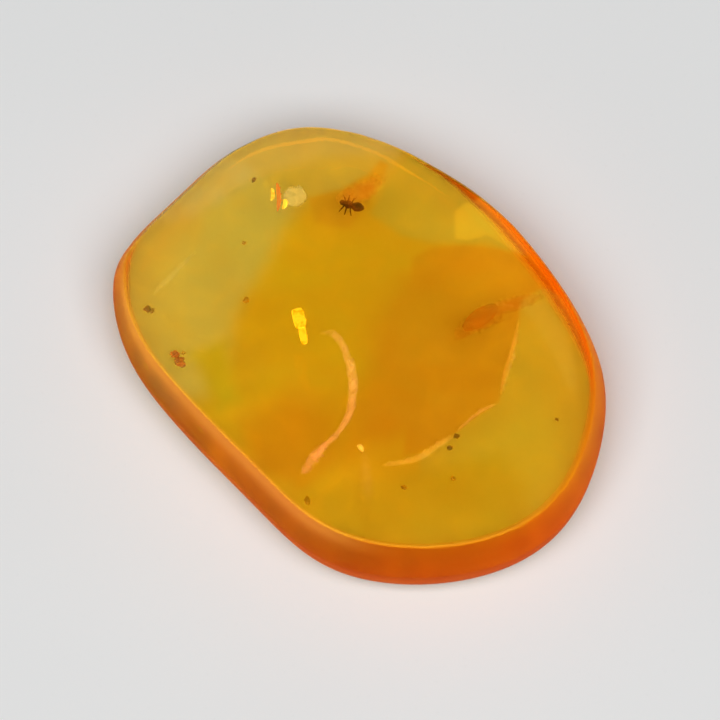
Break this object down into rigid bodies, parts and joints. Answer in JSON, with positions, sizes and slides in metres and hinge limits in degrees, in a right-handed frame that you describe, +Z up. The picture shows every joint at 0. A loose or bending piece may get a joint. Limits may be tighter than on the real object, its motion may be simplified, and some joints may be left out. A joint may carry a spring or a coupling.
{
  "type": "polished amber piece",
  "caption": "Flat polished piece of clear golden amber with a rounded irregular outline, bevelled upper flats and a small insect and a plant fragment sealed inside.",
  "frame": {"origin": "centre of the outline, on the level of the flat underside", "axes": "+Z up through the thickness, +X along the picture's width, -Y towards the picture's viewer"},
  "size_m": [0.021, 0.0215, 0.0047],
  "materials": {
    "amber": "clear golden-orange resin, hand polished to a gloss",
    "insect": "very dark brown, slightly shiny",
    "plant_fragment": "dull reddish brown"
  },
  "bodies": {
    "root": {"amber_upper": "amber", "amber_lower": "amber", "insect": "insect", "plant_fragment": "plant_fragment"}
  },
  "joints": []
}
